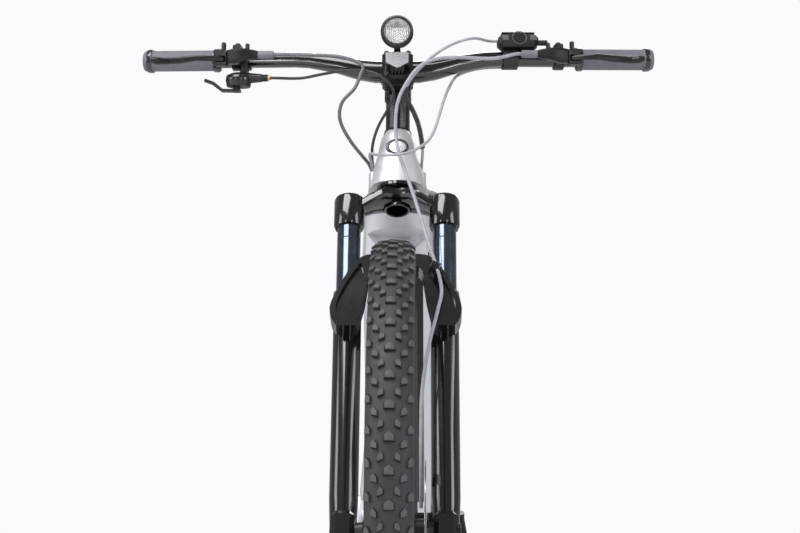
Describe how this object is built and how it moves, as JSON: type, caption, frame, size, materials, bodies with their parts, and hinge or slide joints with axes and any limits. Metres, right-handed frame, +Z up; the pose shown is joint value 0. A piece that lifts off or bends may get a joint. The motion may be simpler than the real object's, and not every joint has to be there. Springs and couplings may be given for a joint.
{
  "type": "electric mountain bike",
  "caption": "Hardtail electric mountain bike with a mid motor, sprung fork, disc brakes, knobbly tyres, a headlight on the bar and a side stand.",
  "frame": {"origin": "on the ground, midway between the ends of the two tyres, in the mid plane of the frame", "axes": "+Z up, -Y the way the bike rides, +X the rider's left"},
  "size_m": [0.7392, 1.9056, 1.0798],
  "materials": {
    "black_anodised": "satin",
    "black_plastic": "satin",
    "cable_housing": "satin",
    "clear_lens": "gloss",
    "dark_cable": "satin",
    "gloss_black_paint": "gloss",
    "reflector": "gloss",
    "rubber": "matte",
    "saddle_cover": "matte",
    "silver_paint": "gloss",
    "steel": "satin",
    "tyre_rubber": "matte"
  },
  "bodies": {
    "frame": {"head_tube": "silver_paint", "down_tube": "silver_paint", "battery_cover": "black_plastic", "top_tube": "silver_paint", "seat_tube": "silver_paint", "motor_cradle": "silver_paint", "motor": "black_plastic", "rear_stays_left": "silver_paint", "rear_stays_right": "silver_paint", "rear_thru_axle": "black_anodised", "rear_caliper": "black_anodised", "chain": "steel", "derailleur_body": "black_anodised"},
    "steering": {"fork_crown_and_steerer": "gloss_black_paint", "headset_cover_and_spacers": "black_anodised", "stem": "black_anodised", "stem_faceplate": "black_anodised", "stem_top_cap": "black_anodised", "handlebar": "gloss_black_paint", "grip_left": "rubber", "grip_right": "rubber", "brake_master_left": "black_anodised", "brake_master_right": "black_anodised", "shifter_pod": "black_plastic", "assist_remote": "black_plastic", "light_bracket": "black_plastic", "front_reflector": "reflector", "front_brake_hose": "cable_housing", "remote_cable": "cable_housing", "sensor_cable": "cable_housing", "rear_brake_hose": "cable_housing", "shift_cable": "cable_housing", "cable_wrap": "dark_cable"},
    "fork_lowers": {"fork_lowers": "gloss_black_paint", "front_thru_axle": "black_anodised", "front_caliper": "black_anodised"},
    "front_wheel": {"front_tyre": "tyre_rubber", "front_rim": "black_anodised", "front_hub_and_spokes": "black_anodised", "front_brake_rotor": "steel"},
    "rear_wheel": {"rear_tyre": "tyre_rubber", "rear_rim": "black_anodised", "rear_hub_and_spokes": "black_anodised", "rear_brake_rotor": "steel"},
    "cranks": {"crank_right": "black_anodised", "crank_left": "black_anodised"},
    "pedal_right": {"pedal_right": "black_anodised"},
    "pedal_left": {"pedal_left": "black_anodised"},
    "cassette": {"cassette": "steel"},
    "derailleur_cage": {"derailleur_cage": "black_anodised"},
    "brake_lever_left": {"brake_lever_left": "black_anodised"},
    "brake_lever_right": {"brake_lever_right": "black_anodised"},
    "shift_paddle": {"shift_paddle": "black_plastic"},
    "remote_button": {"remote_button": "black_plastic"},
    "headlight": {"headlight": "black_plastic", "headlight_lens": "clear_lens"},
    "seat": {"seatpost": "black_anodised", "saddle_rails": "steel", "saddle": "saddle_cover"},
    "kickstand": {"kickstand": "black_anodised"}
  },
  "joints": [
    {"name": "steering_turn", "type": "hinge", "parent": "frame", "child": "steering", "pos_m": [0, -0.54282, 0.34966], "axis": [0, 0.3987, 0.9171], "range_deg": [-60, 60], "deforming": ["front_brake_hose", "remote_cable", "sensor_cable", "rear_brake_hose", "shift_cable", "cable_wrap"]},
    {"name": "fork_slide", "type": "slide", "parent": "steering", "child": "fork_lowers", "axis": [0, 0.3987, 0.9171], "range_m": [0, 0.1], "stiffness_N_per_m": 7000, "springref_m": -0.03, "deforming": ["front_brake_hose"]},
    {"name": "front_wheel_spin", "type": "hinge", "parent": "fork_lowers", "child": "front_wheel", "pos_m": [0, -0.585, 0.368], "axis": [1, 0, 0], "continuous": true},
    {"name": "rear_wheel_spin", "type": "hinge", "parent": "frame", "child": "rear_wheel", "pos_m": [0, 0.585, 0.368], "axis": [1, 0, 0], "continuous": true},
    {"name": "crank_spin", "type": "hinge", "parent": "frame", "child": "cranks", "pos_m": [0, 0.129, 0.318], "axis": [1, 0, 0], "continuous": true},
    {"name": "pedal_right_spin", "type": "hinge", "parent": "cranks", "child": "pedal_right", "pos_m": [-0.0915, -0.036, 0.318], "axis": [1, 0, 0], "continuous": true},
    {"name": "pedal_left_spin", "type": "hinge", "parent": "cranks", "child": "pedal_left", "pos_m": [0.0915, 0.294, 0.318], "axis": [1, 0, 0], "continuous": true},
    {"name": "cassette_spin", "type": "hinge", "parent": "frame", "child": "cassette", "pos_m": [0, 0.585, 0.368], "axis": [1, 0, 0], "continuous": true},
    {"name": "cage_swing", "type": "hinge", "parent": "frame", "child": "derailleur_cage", "pos_m": [-0.047, 0.597, 0.27], "axis": [1, 0, 0], "range_deg": [-30, 40], "stiffness_Nm_per_rad": 1, "deforming": ["chain"]},
    {"name": "brake_left_pull", "type": "hinge", "parent": "steering", "child": "brake_lever_left", "pos_m": [0.25275, -0.3167, 1.02729], "axis": [-0.0249, -0.0039, 0.9997], "range_deg": [0, 14], "stiffness_Nm_per_rad": 1.5, "springref_deg": -6.88},
    {"name": "brake_right_pull", "type": "hinge", "parent": "steering", "child": "brake_lever_right", "pos_m": [-0.25275, -0.3167, 1.02729], "axis": [0.0249, -0.0039, 0.9997], "range_deg": [-14, 0], "stiffness_Nm_per_rad": 1.5, "springref_deg": 6.88},
    {"name": "shift_paddle_push", "type": "hinge", "parent": "steering", "child": "shift_paddle", "pos_m": [-0.23103, -0.29733, 0.98532], "axis": [0.0249, -0.0039, 0.9997], "range_deg": [0, 20], "stiffness_Nm_per_rad": 0.4, "springref_deg": -11.46},
    {"name": "remote_button_press", "type": "slide", "parent": "steering", "child": "remote_button", "axis": [-0.1398, 0.9408, -0.3089], "range_m": [0, 0.001], "stiffness_N_per_m": 600, "springref_m": -0.002},
    {"name": "headlight_tilt", "type": "hinge", "parent": "steering", "child": "headlight", "pos_m": [0, -0.34044, 1.03853], "axis": [1, 0, 0], "range_deg": [-12, 12]},
    {"name": "seatpost_drop", "type": "slide", "parent": "frame", "child": "seat", "axis": [0, 0.2588, 0.9659], "range_m": [-0.12, 0]},
    {"name": "kickstand_fold", "type": "hinge", "parent": "frame", "child": "kickstand", "pos_m": [0.101, 0.539, 0.358], "axis": [1, 0, 0], "range_deg": [0, 85]}
  ],
  "couplings": [
    {"joint": "cassette_spin", "follows": "crank_spin", "ratio": 1.4167}
  ]
}
